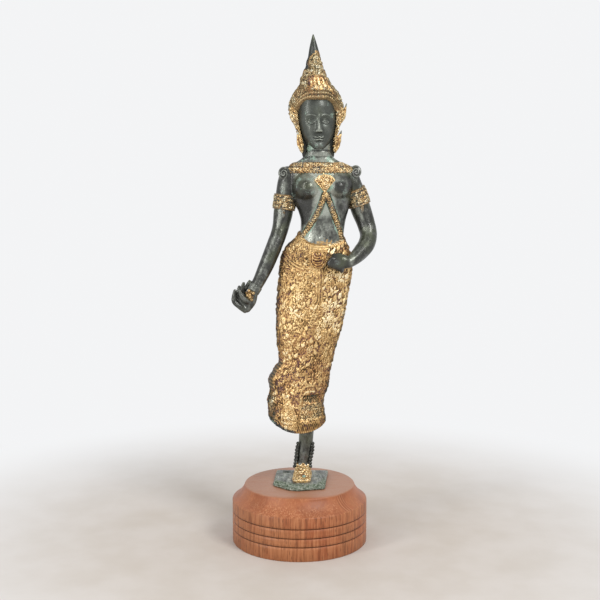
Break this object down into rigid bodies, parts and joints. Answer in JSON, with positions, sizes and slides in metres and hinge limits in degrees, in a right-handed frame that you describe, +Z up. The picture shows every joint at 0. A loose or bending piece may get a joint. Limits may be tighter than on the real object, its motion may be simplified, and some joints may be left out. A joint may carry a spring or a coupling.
{
  "type": "dancer sculpture",
  "caption": "Cast bronze temple dancer in a tall spired crown and carved long skirt, standing on one leg on a turned wooden base.",
  "frame": {"origin": "centre of the wooden base's underside", "axes": "+Z up along the base's axis to the crown, -Y the way the dancer faces, +X to the dancer's left hand on the hip"},
  "size_m": [0.135, 0.127, 0.4697],
  "materials": {
    "turned_wood": "satin oiled hardwood, reddish brown",
    "gilt_bronze": "dark green-grey patinated bronze with worn gilding on the carved dress and jewels"
  },
  "bodies": {
    "root": {"wooden_base": "turned_wood", "bronze_dancer": "gilt_bronze"}
  },
  "joints": []
}
